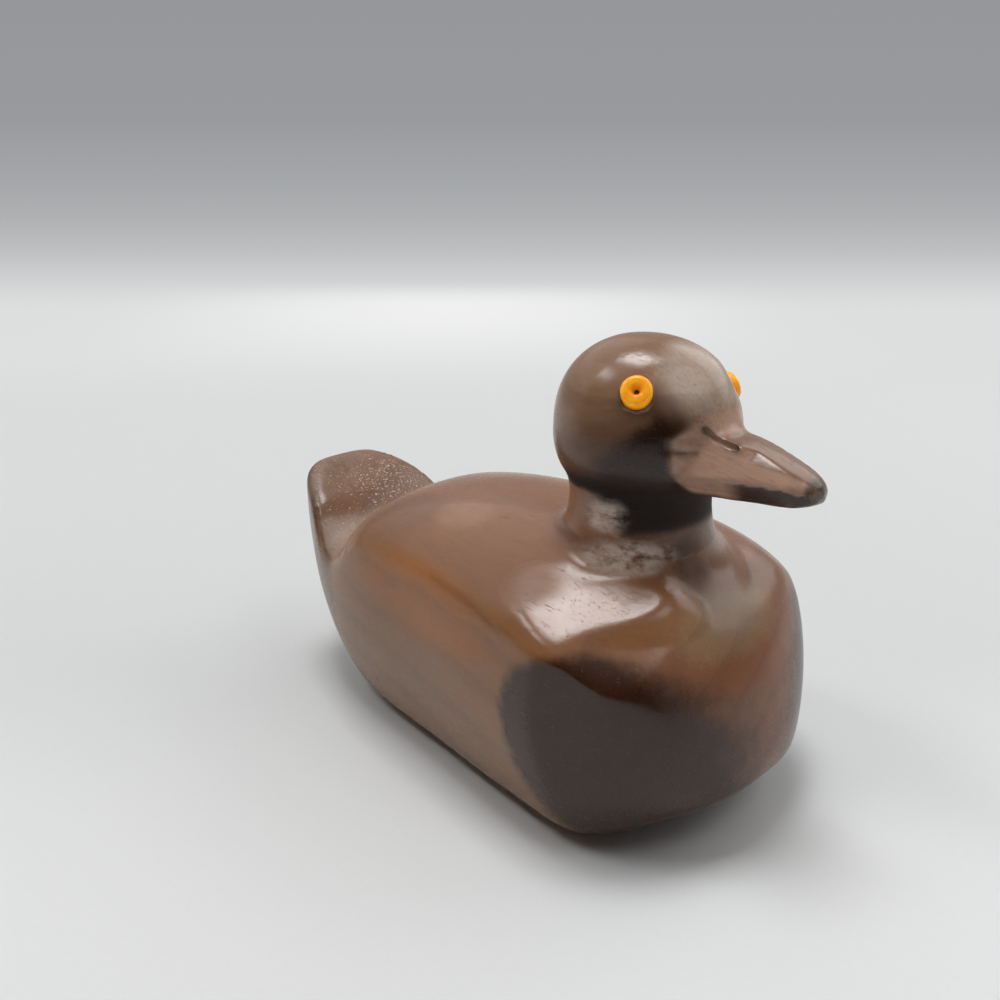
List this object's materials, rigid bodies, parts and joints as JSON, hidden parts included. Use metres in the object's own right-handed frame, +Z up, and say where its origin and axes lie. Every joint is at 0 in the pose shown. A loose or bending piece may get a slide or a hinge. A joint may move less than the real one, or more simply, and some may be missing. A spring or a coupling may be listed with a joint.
{
  "type": "wooden duck figurine",
  "caption": "Small carved duck ornament in dark polished wood, with a doweled head, a straight bill and glass bead eyes, resting on a flat base.",
  "frame": {"origin": "on the flat base that it rests on, on the middle plane, 41.6 mm behind the breast's foremost point", "axes": "+Z up; +Y towards the tail, so that the bill points along -Y; +X towards the duck's left side"},
  "size_m": [0.0514, 0.0962, 0.0652],
  "materials": {
    "stained_wood": "dark brown stain under a thin polished lacquer, worn on the rims",
    "bare_wood": "plain turned dowel",
    "amber_glass": "nearly opaque orange glass, fire polished",
    "pin_metal": "dulled dark brown"
  },
  "bodies": {
    "root": {"body": "stained_wood", "head": "stained_wood", "neck_dowel": "bare_wood", "right_eye_bead": "amber_glass", "right_eye_pin": "pin_metal", "left_eye_bead": "amber_glass", "left_eye_pin": "pin_metal"}
  },
  "joints": []
}
